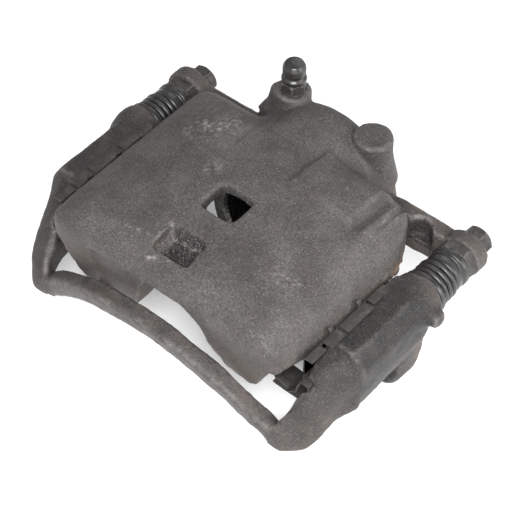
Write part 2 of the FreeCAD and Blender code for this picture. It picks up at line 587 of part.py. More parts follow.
bracket = anchor_bracket()
housing = caliper_housing()
nodes = [bracket, housing]
for side, sign in SIDES:
    x = f"{sign}({PIN_SIDE})"
    nodes += [guide_pin(side, x), guide_bolt(side, x), guide_boot(side, x)]
nodes += [pin_bushing(PIN_SIDE), piston(), piston_seal(), piston_boot(), boot_ring()]
nodes += [bleeder_screw(), bleeder_cap(), *pad_retainer()]
doc.recompute()

for item in doc.Objects:
    if "Invalid" in item.State or "Error" in item.State:
        raise RuntimeError(f"{item.Name} failed: {item.State}")
os.makedirs("parts", exist_ok=True)
for node in nodes:
    shape = node.Shape
    if shape.isNull() or not shape.isValid() or shape.Volume <= 0:
        raise RuntimeError(f"{node.Label} has no valid solid")
    shape.exportStep(f"parts/{node.Label}.step")
    print(node.Label, len(shape.Solids), round(shape.Volume))
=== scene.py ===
import math

import bmesh
import bpy
import numpy as np
from mathutils import Matrix, Vector, noise


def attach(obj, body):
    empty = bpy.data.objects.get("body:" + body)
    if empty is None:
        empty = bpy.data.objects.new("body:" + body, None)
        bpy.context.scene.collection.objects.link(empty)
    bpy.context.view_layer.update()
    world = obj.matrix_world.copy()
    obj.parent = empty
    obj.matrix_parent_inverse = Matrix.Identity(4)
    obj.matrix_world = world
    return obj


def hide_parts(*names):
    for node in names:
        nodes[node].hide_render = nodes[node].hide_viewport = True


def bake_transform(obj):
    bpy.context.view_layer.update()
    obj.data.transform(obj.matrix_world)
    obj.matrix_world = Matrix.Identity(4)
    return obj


# Floating brake caliper. X runs between the guide pins, +Y is inboard, +Z points away from the hub.
# Lengths in this script are millimetres; MM turns them into metres where a mesh is made.
MM = 0.001
PIN_SIDE, PIN_HIGH = 75, 38
CYLINDER_HIGH = 32
BLEED_SIDE, BLANK_SIDE, BOSS_PLACE = -22, 21.5, 36
# centre and half size, in X and Y, of the openings in the housing's top
WINDOW, WINDOW_HALF = (-0.3, -33.6), (8.5, 8)
POCKET, POCKET_HALF = (-1, -62), (9, 6.8)
# inner face in X and thickness of the pad slots' sheet liners
LINER_FACE, LINER_THICK = 64.3, 0.7
# distances, in metres, within which points are merged
WELD, CAD_WELD = 1e-7, 1e-6

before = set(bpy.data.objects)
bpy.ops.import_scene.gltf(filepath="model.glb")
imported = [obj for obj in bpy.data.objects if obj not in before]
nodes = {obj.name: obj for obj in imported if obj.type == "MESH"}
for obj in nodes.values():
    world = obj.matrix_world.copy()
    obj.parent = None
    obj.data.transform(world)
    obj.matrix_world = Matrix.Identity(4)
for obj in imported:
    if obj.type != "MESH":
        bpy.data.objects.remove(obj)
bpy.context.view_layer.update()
scene = bpy.context.scene


# ---------------------------------------------------------------- materials
class Paint:
    """One material, with short calls for the nodes that colour it."""

    def __init__(self, name):
        self.material = bpy.data.materials.new(name)
        self.material.use_nodes = True
        self.tree = self.material.node_tree
        self.shader = next(node for node in self.tree.nodes if node.type == "BSDF_PRINCIPLED")
        self.place = self.tree.nodes.new("ShaderNodeTexCoord").outputs["Object"]

    def plug(self, socket, value):
        """Links a node's output, or sets a colour or a number."""
        if isinstance(value, bpy.types.NodeSocket):
            self.tree.links.new(value, socket)
        elif isinstance(value, tuple):
            socket.default_value = (*value, 1)
        else:
            socket.default_value = value

    def set(self, **values):
        for name, value in values.items():
            self.plug(self.shader.inputs[name.replace("_", " ")], value)
        return self

    def noise(self, size, detail=2.0, rough=0.5, stretch=None):
        """Noise whose features are about `size` millimetres across."""
        node = self.tree.nodes.new("ShaderNodeTexNoise")
        node.inputs["Scale"].default_value = 1 / (size * MM)
        node.inputs["Detail"].default_value = detail
        node.inputs["Roughness"].default_value = rough
        place = self.place
        if stretch:
            scaled = self.tree.nodes.new("ShaderNodeMapping")
            scaled.inputs["Scale"].default_value = stretch
            self.plug(scaled.inputs["Vector"], place)
            place = scaled.outputs[0]
        self.plug(node.inputs["Vector"], place)
        return node.outputs[0]

    def step(self, value, low, high, out_low=0.0, out_high=1.0):
        """A soft step from `out_low` to `out_high` as the value goes from low to high."""
        node = self.tree.nodes.new("ShaderNodeMapRange")
        node.interpolation_type = "SMOOTHSTEP"
        limits = {"From Min": low, "From Max": high, "To Min": out_low, "To Max": out_high}
        for name, number in limits.items():
            node.inputs[name].default_value = number
        self.plug(node.inputs["Value"], value)
        return node.outputs[0]

    def math(self, kind, first, second):
        node = self.tree.nodes.new("ShaderNodeMath")
        node.operation = kind
        node.use_clamp = True
        self.plug(node.inputs[0], first)
        self.plug(node.inputs[1], second)
        return node.outputs[0]

    def mix(self, share, first, second):
        node = self.tree.nodes.new("ShaderNodeMix")
        node.data_type = "RGBA"
        self.plug(node.inputs["Factor"], share)
        self.plug(node.inputs[6], first)
        self.plug(node.inputs[7], second)
        return node.outputs[2]

    def attribute(self, name):
        node = self.tree.nodes.new("ShaderNodeAttribute")
        node.attribute_name = name
        return node.outputs["Fac"]

    def painted(self, name, breakup):
        """A painted attribute, broken up by a second value."""
        return self.math("MULTIPLY", self.attribute(name), breakup)

    def bump(self, height, depth, strength=1.0, below=None):
        """Relief of `depth` millimetres, laid over the relief `below` if there is one."""
        node = self.tree.nodes.new("ShaderNodeBump")
        node.inputs["Strength"].default_value = strength
        node.inputs["Distance"].default_value = depth * MM
        self.plug(node.inputs["Height"], height)
        if below:
            self.plug(node.inputs["Normal"], below)
        return node.outputs[0]


def cast_iron(name, tone, tint):
    """Old bare cast iron: sandy skin and pale specks, with worn places, painted highlights, rust
    and painted shade where painted.
    """
    dark = tuple(tone * share for share in (0.64, 0.59, 0.57))
    light = tuple(tone * share for share in (1.28, 1.2, 1.16))
    paint = Paint(name)
    blotches = paint.noise(16, 5, 0.62)
    grain = paint.noise(0.9, 3, 0.6)
    specks = paint.noise(0.55, 2, 0.7)
    mottle = paint.noise(3.2, 6, 0.75)
    colour = paint.mix(paint.step(blotches, 0.3, 0.72), dark, light)
    pits = paint.step(grain, 0.36, 0.6, 0.62, 0.0)
    colour = paint.mix(pits, colour, tuple(0.45 * c for c in dark))
    rust = paint.painted("rust", paint.step(paint.noise(5, 4, 0.65), 0.36, 0.6))
    colour = paint.mix(rust, colour, tint)
    # painted shade: a darker colour where the points are marked for it
    painted_shade = paint.painted("painted_shade", paint.step(paint.noise(7, 4, 0.6), 0.2, 0.6, 0.5, 1.0))
    colour = paint.mix(painted_shade, colour, tuple(0.22 * c for c in dark))
    pale = paint.step(specks, 0.58, 0.72, 0.0, 0.55)
    rough = paint.painted("rough_skin", paint.step(specks, 0.56, 0.68, 0.0, 0.6))
    pale = paint.math("MAXIMUM", pale, rough)
    colour = paint.mix(pale, colour, tuple(3.6 * c for c in light))
    # bright where the points are marked as worn and for painted highlights
    worn = paint.painted("wear_and_highlight", paint.step(mottle, 0.36, 0.6))
    colour = paint.mix(worn, colour, tuple(3.4 * c for c in light))
    relief = paint.bump(specks, 0.24, strength=0.8, below=paint.bump(grain, 0.34))
    return paint.set(Base_Color=colour, Metallic=0.0, Specular_IOR_Level=0.35,
                     Roughness=paint.step(worn, 0.0, 1.0, 0.62, 0.45), Normal=relief).material


def rubber(name, tone, dust):
    """Black rubber with road dust lying on it."""
    paint = Paint(name)
    film = paint.step(paint.noise(4, 4, 0.65), 0.4, 0.68, 0.12, 0.75)
    colour = paint.mix(film, (tone, tone * 0.95, tone * 0.93), (dust, dust * 0.93, dust * 0.88))
    return paint.set(Base_Color=colour, Roughness=paint.step(film, 0.0, 1.0, 0.34, 0.6),
                     Normal=paint.bump(paint.noise(0.7, 3), 0.05, 0.6)).material


def worn_steel(name, tone):
    """Plated steel gone dull, bright on its edges and brown in patches."""
    paint = Paint(name)
    patches = paint.step(paint.noise(3, 5, 0.7), 0.38, 0.66)
    colour = paint.mix(patches, (tone * 0.55, tone * 0.5, tone * 0.46),
                       (tone, tone * 0.97, tone * 0.93))
    rust = paint.step(paint.noise(1.6, 4, 0.7), 0.58, 0.7, 0.0, 0.7)
    colour = paint.mix(rust, colour, (0.08, 0.05, 0.035))
    worn = paint.painted("wear_and_highlight", paint.step(paint.noise(1.2, 3), 0.35, 0.6))
    colour = paint.mix(worn, colour, (0.24, 0.215, 0.19))
    return paint.set(Base_Color=colour, Metallic=0.35,
                     Roughness=paint.step(patches, 0.0, 1.0, 0.62, 0.42),
                     Normal=paint.bump(paint.noise(0.5, 3), 0.05, 0.6)).material


def chrome(name):
    """Hard chrome with faint rings from grinding and a little brake dust."""
    paint = Paint(name)
    dust = paint.step(paint.noise(6, 4, 0.6), 0.36, 0.6, 0.0, 0.85)
    colour = paint.mix(dust, (0.09, 0.088, 0.086), (0.02, 0.018, 0.016))
    rings = paint.noise(1, 2, 0.5, (0.05, 1.0, 0.05))
    return paint.set(Base_Color=colour, Metallic=0.95,
                     Roughness=paint.step(dust, 0.0, 0.85, 0.14, 0.4),
                     Normal=paint.bump(rings, 0.012, 0.4)).material


def pale_floor(name):
    """The plain white ground under the part."""
    paint = Paint(name)
    tone = paint.mix(paint.noise(300, 2), (0.93, 0.93, 0.93), (0.95, 0.95, 0.95))
    return paint.set(Base_Color=tone, Roughness=0.9).material


HOUSING_IRON = cast_iron("housing_iron", 0.048, (0.075, 0.05, 0.036))
BRACKET_IRON = cast_iron("bracket_iron", 0.034, (0.075, 0.05, 0.038))
RUBBER = rubber("black_rubber", 0.009, 0.024)
SEAL_RUBBER = rubber("seal_rubber", 0.012, 0.025)
BOLT_STEEL = worn_steel("bolt_steel", 0.038)
SHEET_STEEL = worn_steel("retainer_sheet", 0.042)
CHROME = chrome("piston_chrome")


# ---------------------------------------------------------------- meshes
def add_piece(name, points, faces):
    """An object from points in millimetres, its doubles merged and its faces turned outwards."""
    mesh = bpy.data.meshes.new(name)
    mesh.from_pydata([tuple(value * MM for value in point) for point in points], [], faces)
    shell = bmesh.new()
    shell.from_mesh(mesh)
    bmesh.ops.remove_doubles(shell, verts=shell.verts, dist=WELD)
    bmesh.ops.dissolve_degenerate(shell, edges=shell.edges, dist=WELD)
    bmesh.ops.recalc_face_normals(shell, faces=shell.faces)
    shell.to_mesh(mesh)
    shell.free()
    thing = bpy.data.objects.new(name, mesh)
    scene.collection.objects.link(thing)
    return thing


def rounded(corners, radius, steps=4):
    """A closed outline with its corners rounded off as far as its sides allow."""
    most_of_side = 0.42
    outline = []
    for k, corner in enumerate(corners):
        here = Vector(corner)
        ends = []
        for other in (corners[k - 1], corners[(k + 1) % len(corners)]):
            side = Vector(other) - here
            ends.append(here + side.normalized() * min(radius, most_of_side * side.length))
        for step in range(steps + 1):
            share = step / steps
            rest = 1 - share
            outline.append(rest ** 2 * ends[0] + 2 * share * rest * here + share ** 2 * ends[1])
    return outline


def lathe(name, profile, centre, along="Y", around=96, hexagon=None):
    """A closed (radius, along) outline turned about a line parallel to an axis.

    A hexagon's corner radius, if given, trims it to six flats.
    """
    points, faces = [], []
    count = len(profile)
    for turn in range(around):
        angle = 2 * math.pi * turn / around
        trim = math.inf
        if hexagon:
            trim = hexagon * math.cos(math.pi / 6) / math.cos(angle % (math.pi / 3) - math.pi / 6)
        for radius, place in profile:
            reach = max(0.0, min(radius, trim))
            across, up = reach * math.cos(angle), reach * math.sin(angle)
            turned = {"X": (place, across, up), "Y": (across, place, up), "Z": (across, up, place)}
            points.append(tuple(a + b for a, b in zip(centre, turned[along])))
    for turn in range(around):
        for k in range(count):
            here, there = turn * count, (turn + 1) % around * count
            faces.append((here + k, here + (k + 1) % count, there + (k + 1) % count, there + k))
    return add_piece(name, points, faces)


def join(base, *others):
    """Adds the other objects' meshes to base and deletes those objects."""
    whole = bmesh.new()
    for thing in (base, *others):
        whole.from_mesh(thing.data)
    whole.to_mesh(base.data)
    whole.free()
    for thing in others:
        bpy.data.objects.remove(thing)
    return base


def applied(thing):
    """Turns the object's modifiers into plain mesh."""
    bpy.context.view_layer.update()
    graph = bpy.context.evaluated_depsgraph_get()
    shaped = bpy.data.meshes.new_from_object(thing.evaluated_get(graph))
    thing.modifiers.clear()
    thing.data = shaped
    return thing


def read(thing):
    """The mesh's points in millimetres and their normals."""
    points = np.zeros(len(thing.data.vertices) * 3, np.float32)
    normals = np.zeros_like(points)
    thing.data.vertices.foreach_get("co", points)
    thing.data.vertices.foreach_get("normal", normals)
    return points.reshape(-1, 3).astype(float) / MM, normals.reshape(-1, 3).astype(float)


def write(thing, points):
    """Moves the mesh's points to these places, in millimetres."""
    thing.data.vertices.foreach_set("co", (points * MM).astype(np.float32).ravel())
    thing.data.update()


def paint_points(thing, name, values):
    """Stores one value from 0 to 1 for each point, for the materials to read."""
    attribute = thing.data.attributes.new(name, "FLOAT", "POINT")
    attribute.data.foreach_set("value", np.clip(values, 0, 1).astype(np.float32))


def neighbours(thing):
    """The two point numbers of every edge."""
    ends = np.zeros(len(thing.data.edges) * 2, np.int64)
    thing.data.edges.foreach_get("vertices", ends)
    return ends.reshape(-1, 2)


def averaged(values, ends):
    """Each point's mean over the points it shares an edge with."""
    here, there = np.concatenate((ends, ends[:, ::-1])).T
    count = np.maximum(np.bincount(here, minlength=len(values)), 1)
    columns = values.reshape(len(values), -1).T
    sums = [np.bincount(here, column[there], len(values)) / count for column in columns]
    return np.stack(sums, 1).reshape(values.shape)


def relax(points, ends, share, rounds):
    """Lets the skin settle towards flatness, most where `share` is 1."""
    pull = 0.6
    for _ in range(rounds):
        points = points + pull * share[:, None] * (averaged(points, ends) - points)
    return points


def edge_wear(thing, gain, blur=0, least=0.0):
    """How worn each point is: more where the skin turns outward more sharply than `least`."""
    points, normals = read(thing)
    ends = neighbours(thing)
    sharp = -((averaged(points, ends) - points) * normals).sum(1)
    for _ in range(blur):
        sharp = averaged(sharp, ends)
    return np.clip((sharp - least) * gain, 0, 1)


def ramp(value, low, high):
    """0 up to `low`, 1 from `high` on, and smooth between them."""
    share = np.clip((value - low) / (high - low), 0, 1)
    return share * share * (3 - 2 * share)


def band(value, low, full, fading, end):
    """0 up to `low`, 1 from `full` to `fading`, and 0 again from `end` on."""
    return ramp(value, low, full) * (1 - ramp(value, fading, end))


def bell(value, middle, width):
    return np.exp(-((value - middle) / width) ** 2)


def beyond(points, centre, half):
    """How far each point lies outside a box in X and Y; below 0 inside it."""
    return np.max(np.abs(points[:, :2] - centre) - half, axis=1)


def patch(points, low, high, soft):
    """1 inside a box in X and Y, fading to 0 over `soft` millimetres outside its sides."""
    inside = np.ones(len(points))
    for axis in (0, 1):
        inside *= ramp(points[:, axis], low[axis] - soft, low[axis])
        inside *= 1 - ramp(points[:, axis], high[axis], high[axis] + soft)
    return inside


def near_line(points, start, end, width):
    """1 along the line between two points, fading over `width` millimetres."""
    start, along = np.array(start, float), np.subtract(end, start)
    share = np.clip((points - start) @ along / (along @ along), 0, 1)
    away = np.linalg.norm(points - start - share[:, None] * along, axis=1)
    return bell(away, 0, width)


def bumps(points, size, seed):
    """Smooth noise from about -1 to 1 with features of `size` millimetres."""
    # each seed reads another region of the same noise
    shift = Vector((seed * 17.3, seed * 5.1, seed * 9.7))
    return np.array([noise.noise(Vector(point) / size + shift) for point in points])


def casting(node, extras, voxel, passes):
    """A casting's CAD copy, with the extra lumps melted in, as one even skin with rounded edges."""
    thing = bpy.data.objects.new(node + "_cast", nodes[node].data.copy())
    scene.collection.objects.link(thing)
    whole = bmesh.new()
    whole.from_mesh(thing.data)
    bmesh.ops.remove_doubles(whole, verts=whole.verts, dist=CAD_WELD)
    whole.to_mesh(thing.data)
    whole.free()
    join(thing, *extras)
    remesh = thing.modifiers.new("even_skin", "REMESH")
    remesh.mode = "VOXEL"
    remesh.voxel_size = voxel * MM
    smooth = thing.modifiers.new("soft_edges", "SMOOTH")
    smooth.factor = 0.5
    smooth.iterations = passes
    return applied(thing)


def finish_piece(thing, material, slot, body, *replaced, angle=None):
    """Gives a piece its material and, unless it stretches, the body it rides on; the slot it takes
    is not used.
    """
    thing.data.materials.clear()
    thing.data.materials.append(material)
    thing.data.shade_smooth()
    if angle:
        thing.data.set_sharp_from_angle(angle=math.radians(angle))
    if body:
        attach(thing, body)
    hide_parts(*replaced)
    return thing


# ---------------------------------------------------------------- castings
def lump(profile, centre, deep):
    """A cone-like lump that melts into a casting, squeezed along Y by `deep`."""
    thing = lathe("lump", profile, (0, 0, 0), "Z", around=48)
    points, _ = read(thing)
    write(thing, points * (1, deep, 1) + (*centre, 0))
    return thing


# bright lines and patches on the housing's top, painted highlights along ridges and the pocket's
# edges, and scuffs: start, end, width and strength
HIGHLIGHTS_AND_SCUFFS = (
    ((-6.5, -59.4), (7, -58.6), 0.6, 0.6), ((-6.5, -59.4), (-6.5, -68.5), 0.6, 0.5),
    ((-10.5, -55.8), (-6.5, -59.4), 0.6, 0.4), ((-24, -68), (-14, -65.4), 0.7, 0.9),
    ((-9, -73), (1, -69.4), 0.7, 0.9), ((52.4, -8), (49.8, 13), 0.6, 0.45),
    ((-38, -8), (-28, 2), 5, 0.7), ((-19, -24), (-16, -19), 3, 0.5),
    ((40, -50), (46, -46), 2.5, 0.6),
)


def soft_shoulders(thing):
    """Settles the housing's top and the front of its fingers into soft cast shapes."""
    points, normals = read(thing)
    ends = neighbours(thing)
    x, y, z = points.T
    top = ramp(normals[:, 2], 0.1, 0.3) * ramp(z, 40, 46) * (1 - ramp(y, 22, 27))
    top *= ramp(beyond(points, WINDOW, WINDOW_HALF), 0.5, 2)
    top *= ramp(beyond(points, POCKET, POCKET_HALF), 0.5, 2)
    front = ramp(-normals[:, 1], 0.2, 0.5) * ramp(z, 38, 46)
    front *= (1 - ramp(y, -60, -50)) * ramp(np.abs(x + 1), 10, 16)
    top = np.maximum(top, front)
    for _ in range(3):
        top = averaged(top, ends)
    write(thing, relax(points, ends, top, rounds=110) + 0.35 * front[:, None] * normals)


def top_relief(points, around):
    """How far the housing's upper faces are lifted; `around` is how far each point is outside
    the window.
    """
    x, y, z = points.T
    # raised pad over the cylinder's right side, dropping to a ledge at the inboard corner
    lift = 1.3 * patch(points, (13.5, -7), (41, 15.5), 3.0)
    lift += 2.4 * bell(x, 50, 2.6) * band(y, -15, -5, 10, 18)
    lift -= 0.9 * bell(x, 44.2, 1.3) * band(y, -18, -10, 10, 16)
    lift -= 2.6 * band(y, -16, 12, 20, 24) * band(x, 42.5, 45.5, 51.5, 53.5)
    # step along the left inboard corner
    lift += 0.9 * band(x, -44.8, -43.8, -40, -20) * band(y, -16, -6, 13, 14.5)
    lift += 0.5 * band(x, -19.5, -18.5, -16, -6) * band(y, -10, -2, 18, 22)
    # lip round the window
    lift += 0.12 * band(around, -0.4, 0.8, 1.6, 3.4) * (z > 60)
    # floor of the pocket
    lift -= 1.2 * (beyond(points, (0.3, -64), (7.6, 4.2)) < 0) * (z < 66) * (z > 58)
    # thicker arms out to the ears
    arms = ramp(y, 24.5, 26.5) * band(np.abs(x), 36, 44, 64, 70)
    return lift + 1.2 * arms * (z > 36) * (z < 46)


def housing():
    flares = [
        lump([(0, 40), (16, 40), (12.5, 50), (9.6, 57), (8.3, 63), (7.9, 66), (0, 66)],
             (BLEED_SIDE - 2, 34), deep=0.66),
        lump([(0, 44), (12, 44), (10.6, 50), (9.4, 56), (8.8, 60), (8.8, 67), (8, 67.9), (0, 67.9)],
             (BLANK_SIDE, BOSS_PLACE - 1), deep=0.95),
        lathe("ear_rim", [(5, 26.2), (10.6, 26.2), (10.6, 33.4), (5, 33.4)],
              (-PIN_SIDE, 0, PIN_HIGH)),
    ]
    thing = casting("caliper_housing", flares, voxel=0.85, passes=7)
    soft_shoulders(thing)
    points, normals = read(thing)
    # x, y and z are columns of points, so they follow every change made to it
    x, y, z = points.T
    around = beyond(points, WINDOW, WINDOW_HALF)
    points[:, 2] += top_relief(points, around) * ramp(normals[:, 2], 0.25, 0.6)
    # small step on the left finger
    face = ramp(-normals[:, 1], 0.3, 0.7) * (z > 30) * (z < 53)
    points[:, 1] += 0.9 * band(x, -35.9, -35.1, -33, -25) * face
    # torn edge where the two halves of the mould met, on the right side
    torn = ramp(x, 55, 60) * band(z, 41, 43, 46, 50) * band(y, -20, -12, 14, 20)
    points[:, 0] += torn * (0.7 + 1.5 * bumps(points, 2.4, seed=4))
    # sand-cast skin everywhere but in the bore
    skin = 0.16 * bumps(points, 5, seed=1) + 0.09 * bumps(points, 1.8, seed=2)
    outside = 1 - (np.hypot(x, z - CYLINDER_HIGH) < 34) * (y < 34.5) * (y > -1)
    points += normals * (skin * outside)[:, None]
    write(thing, points)
    in_pocket = (beyond(points, POCKET, (9.6, 7.2)) < 0) * (z < 67.6) * (z > 60)
    in_window = (around < 0.6) * ramp(-z, -68, -64)
    in_scoop = ramp(-np.hypot(x - 55, y - 24), -7.4, -6) * (z > 32) * (z < 43)
    # painted shade in the pocket, half as strong by its left wall and fading out at its outboard
    # wall
    pocket_shade = in_pocket * ramp(y, -69.5, -67) * (0.5 + 0.5 * ramp(x, -8, -5))
    paint_points(thing, "rough_skin", in_pocket * 1.0)
    # painted shade in the pocket, inside the window and in the scoop on the right arm, and a little
    # darker towards the inboard end
    paint_points(thing, "painted_shade", pocket_shade + 0.9 * in_window + 0.8 * in_scoop + 0.25 * ramp(y, 20, 30))
    paint_points(thing, "rust", 0.9 * torn + 0.45 * ramp(-z, -56, -36) + 0.25 * in_pocket + 0.1)
    wear_and_highlight = edge_wear(thing, gain=4.0, blur=1, least=0.035) * ramp(around, 1, 5)
    patchy = ramp(bumps(points, 1.6, seed=7), -0.1, 0.35)
    # the listed lines add painted highlights along ridges and the pocket's edges, and scuffs, over
    # the worn edges
    for start, end, width, strength in HIGHLIGHTS_AND_SCUFFS:
        near = near_line(points[:, :2], start, end, width) * (z > 54)
        wear_and_highlight = np.maximum(wear_and_highlight, strength * near * (patchy if strength > 0.4 else 1))
    paint_points(thing, "wear_and_highlight", wear_and_highlight)
    return finish_piece(thing, HOUSING_IRON, "housing_casting", "caliper", "caliper_housing")


def bracket():
    extras = []
    collar = rounded([(6, -13), (9.6, -13), (11.2, -6), (11.4, -2.6), (10.6, 0), (6, 0)], 0.8)
    for side in (1, -1):
        extras.append(lathe(f"collar_{side}", collar, (side * PIN_SIDE, 0, PIN_HIGH), around=64))
    peg = rounded([(0, 80), (3.9, 80), (3.9, 89.3), (0, 89.3)], 1.2)
    extras.append(lathe("peg", peg, (0, -6.5, PIN_HIGH), "X", around=40))
    thing = casting("anchor_bracket", extras, voxel=0.8, passes=6)
    points, normals = read(thing)
    ends = neighbours(thing)
    # softest at the outboard arms; the push outwards makes up for what the settling takes
    arms = (1 - ramp(points[:, 1], -60, -48)) * ramp(np.abs(points[:, 0]), 48, 58)
    points = relax(points, ends, 0.35 + 0.65 * arms, rounds=22)
    points = points + normals * (0.4 + 0.45 * arms[:, None])
    # the tie bar, a little thicker, lower and drooping to the right
    bar = (1 - ramp(points[:, 1], -74, -68)) * (1 - ramp(np.abs(points[:, 0]), 50, 60))
    points += normals * (0.35 * bar)[:, None]
    points[:, 2] -= bar * (0.5 + ramp(points[:, 0], -20, 50))
    write(thing, points)
    points, normals = read(thing)
    x, y, z = points.T
    skin = 0.45 * bumps(points, 13, seed=9) + 0.22 * bumps(points, 6, seed=5)
    skin = skin + 0.12 * bumps(points, 1.9, seed=6)
    pin_bore = np.hypot(np.abs(x) - PIN_SIDE, z - PIN_HIGH) < 6.5
    points += normals * (skin * (1 - pin_bore))[:, None]
    write(thing, points)
    low_side = ramp(np.abs(x), 70, 80) * (1 - ramp(z, 18, 30))
    rails = band(y, -62, -46, -12, 0)
    paint_points(thing, "rust", 0.25 + 0.75 * low_side)
    paint_points(thing, "rough_skin", 0.25 + 0.25 * low_side)
    # painted shade along the middle of the bracket, where the housing stands over the rails, more
    # on the right, and on the outboard arms
    painted_shade = (0.75 + 0.2 * (x > 0)) * rails + 0.6 * arms * ramp(y, -84, -70)
    paint_points(thing, "painted_shade", painted_shade)
    # painted highlight on the tie bar's lower outboard faces, laid in with its worn edges
    under = bar * ramp(-normals[:, 1], 0.1, 0.5) * ramp(-normals[:, 2], 0.1, 0.6)
    wear_and_highlight = edge_wear(thing, gain=6.0, blur=1, least=0.02)
    paint_points(thing, "wear_and_highlight", np.maximum(wear_and_highlight, 1.1 * under))
    return finish_piece(thing, BRACKET_IRON, "bracket_casting", "bracket", "anchor_bracket")


# ---------------------------------------------------------------- pins, bolts and boots
def guide_pin(side, name):
    centre = (side * PIN_SIDE, 0, PIN_HIGH)
    flange = rounded([
        (3.5, 21), (9.7, 21), (10.3, 21.8), (10.3, 25.2), (9.7, 26), (3.5, 26),
    ], 0.3, 2)
    head = lathe(name + "_steel", flange, centre, around=120, hexagon=9.9)
    shank = rounded([(3.5, -44), (4.2, -44), (4.75, -43.4), (4.75, 21.2), (3.5, 21.2)], 0.3, 2)
    join(head, lathe(name + "_shank", shank, centre))
    paint_points(head, "wear_and_highlight", edge_wear(head, gain=2.5))
    return finish_piece(head, BOLT_STEEL, "bolt_steel", "caliper", name, angle=35)


def guide_bolt(side, name):
    centre = (side * PIN_SIDE, 0, PIN_HIGH)
    head = rounded([
        (0, 34), (7.1, 34), (7.1, 39.6), (6.1, 40.6), (5.6, 40.7), (5.2, 40.2), (0, 40.2),
    ], 0.25, 2)
    bolt = lathe(name + "_steel", head, centre, around=120, hexagon=7)
    washer = rounded([(0, 33.52), (8, 33.52), (8, 34.4), (7, 34.9), (0, 34.9)], 0.35, 3)
    shank = [(0, 9), (2.8, 9)]
    for ridge in range(24):
        shank += [(3.38, 9.6 + ridge), (3.1, 10.1 + ridge)]
    shank += [(3.3, 33.6), (0, 33.6)]
    join(bolt, lathe(name + "_washer", washer, centre),
         lathe(name + "_shank", shank, centre, around=48))
    paint_points(bolt, "wear_and_highlight", edge_wear(bolt, gain=3.0))
    return finish_piece(bolt, BOLT_STEEL, "bolt_steel", "caliper", name, angle=35)


def rib_tree():
    """Node tree that sets round rubber ribs at even steps along +Y."""
    tree = bpy.data.node_groups.new("rubber_ribs", "GeometryNodeTree")
    sockets = {}
    for label, kind, value in (
            ("Count", "NodeSocketInt", 3), ("Step", "NodeSocketFloat", 0.002),
            ("Start", "NodeSocketVector", (0, 0, 0)), ("Ring Radius", "NodeSocketFloat", 0.008),
            ("Rib Radius", "NodeSocketFloat", 0.001), ("Material", "NodeSocketMaterial", None)):
        sockets[label] = tree.interface.new_socket(label, in_out="INPUT", socket_type=kind)
        if value is not None:
            sockets[label].default_value = value
    tree.interface.new_socket("Geometry", in_out="OUTPUT", socket_type="NodeSocketGeometry")
    given = tree.nodes.new("NodeGroupInput").outputs
    result = tree.nodes.new("NodeGroupOutput")

    def node(kind, **links):
        made = tree.nodes.new(kind)
        for name, source in links.items():
            tree.links.new(source, made.inputs[name.replace("_", " ")])
        return made

    ring = node("GeometryNodeCurvePrimitiveCircle", Radius=given["Ring Radius"])
    ring.inputs["Resolution"].default_value = 80
    section = node("GeometryNodeCurvePrimitiveCircle", Radius=given["Rib Radius"])
    section.inputs["Resolution"].default_value = 12
    tube = node("GeometryNodeCurveToMesh", Curve=ring.outputs["Curve"],
                Profile_Curve=section.outputs["Curve"])
    stand = node("GeometryNodeTransform", Geometry=tube.outputs[0])
    stand.inputs["Rotation"].default_value = (math.pi / 2, 0, 0)
    offset = node("ShaderNodeCombineXYZ", Y=given["Step"])
    line = node("GeometryNodeMeshLine", Count=given["Count"], Start_Location=given["Start"],
                Offset=offset.outputs[0])
    spread = node("GeometryNodeInstanceOnPoints", Points=line.outputs[0], Instance=stand.outputs[0])
    solid = node("GeometryNodeRealizeInstances", Geometry=spread.outputs[0])
    coat = node("GeometryNodeSetMaterial", Geometry=solid.outputs[0], Material=given["Material"])
    tree.links.new(coat.outputs[0], result.inputs[0])
    return tree, sockets


RIBS, RIB_SOCKETS = rib_tree()


def ribs(name, count, step, start, ring_radius, rib_radius, material):
    """Ribs from the node tree as a plain mesh."""
    holder = bpy.data.objects.new(name, bpy.data.meshes.new(name))
    scene.collection.objects.link(holder)
    modifier = holder.modifiers.new("ribs", "NODES")
    modifier.node_group = RIBS
    values = {"Count": count, "Step": step * MM, "Start": tuple(value * MM for value in start),
              "Ring Radius": ring_radius * MM, "Rib Radius": rib_radius * MM, "Material": material}
    for label, value in values.items():
        modifier[RIB_SOCKETS[label].identifier] = value
    return applied(holder)


def guide_boot(side, name):
    centre = (side * PIN_SIDE, 0, PIN_HIGH)
    sleeve = rounded([
        (5.5, 0.05), (10.4, 0.05), (10.5, 2.4), (9.4, 3), (7.2, 3.3), (7.1, 12.2), (8.6, 12.6),
        (9, 13.4), (8.9, 16.2), (8.1, 16.6), (8.1, 17.6), (9.3, 18.2), (9.4, 20.3), (8.6, 20.95),
        (5.5, 20.95), (5.5, 18), (6.2, 17), (6.2, 3), (5.5, 2),
    ], 0.45, 3)
    boot = lathe(name + "_rubber", sleeve, centre)
    join(boot, ribs(name + "_ribs", count=3, step=2.9, start=(centre[0], 4.9, centre[2]),
                    ring_radius=8.5, rib_radius=1.2, material=RUBBER))
    thing = finish_piece(boot, RUBBER, "rubber_black", None, name, angle=50)
    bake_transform(thing)
    return thing


# ---------------------------------------------------------------- piston, bleeder and retainers
def piston():
    profile = rounded([
        (0, 26), (19.5, 26), (21.5, 24), (21.5, -7.5), (22.6, -9.5), (27.9, -9.5), (28.5, -8.9),
        (28.5, -6), (27, -6), (27, -3.8), (28.5, -3.8), (28.5, 31), (26.5, 33), (0, 33),
    ], 0.5, 3)
    thing = lathe("piston_cup", profile, (0, 0, CYLINDER_HIGH), around=144)
    return finish_piece(thing, CHROME, "piston_chrome", "piston_body", "piston", angle=35)


